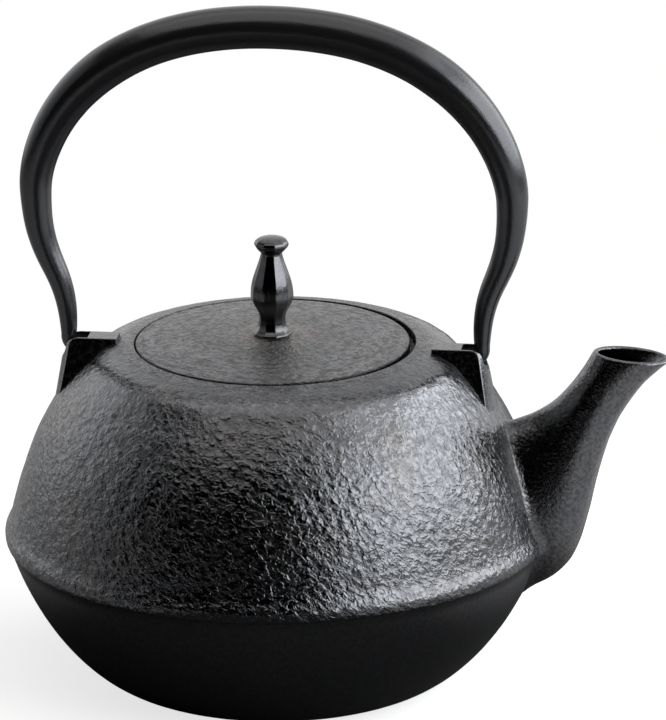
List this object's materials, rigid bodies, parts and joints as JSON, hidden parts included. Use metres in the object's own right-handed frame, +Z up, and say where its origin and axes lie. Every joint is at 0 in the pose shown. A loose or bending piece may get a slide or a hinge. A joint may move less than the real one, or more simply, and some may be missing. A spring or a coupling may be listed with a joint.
{
  "type": "cast iron kettle",
  "caption": "Round cast iron water kettle with a ridged body, curved spout, upright bail handle and drop-in lid with a small faceted knob.",
  "frame": {"origin": "middle of the flat base, on the body's own axis", "axes": "+Z up along the body's axis, +X towards the spout, the handle's hinge axis runs along X"},
  "size_m": [0.222, 0.1812, 0.2302],
  "materials": {
    "body_iron": "black baked cast skin, rough above the ridge and smooth below it",
    "lid_iron": "black, fine grain with concentric brush marks",
    "handle_iron": "black satin with fine brush marks along the bar",
    "knob_iron": "black satin, ten flat sides",
    "rivet_steel": "dark oxidised steel"
  },
  "bodies": {
    "kettle": {"kettle_body": "body_iron", "spout": "body_iron", "left_ear": "body_iron", "right_ear": "body_iron"},
    "handle": {"handle": "handle_iron"},
    "lid": {"lid": "lid_iron"},
    "knob": {"knob": "knob_iron", "knob_rivet": "rivet_steel", "knob_washer": "rivet_steel"}
  },
  "joints": [
    {"name": "handle_swing", "type": "hinge", "parent": "kettle", "child": "handle", "pos_m": [0, 0, 0.111], "axis": [1, 0, 0], "range_deg": [-8, 8]},
    {"name": "lid_lift", "type": "slide", "parent": "kettle", "child": "lid", "axis": [0, 0, 1], "range_m": [0, 0.06]},
    {"name": "knob_turn", "type": "hinge", "parent": "lid", "child": "knob", "pos_m": [-0.00075, -0.00035, 0.1178], "axis": [0, 0, 1], "continuous": true}
  ]
}
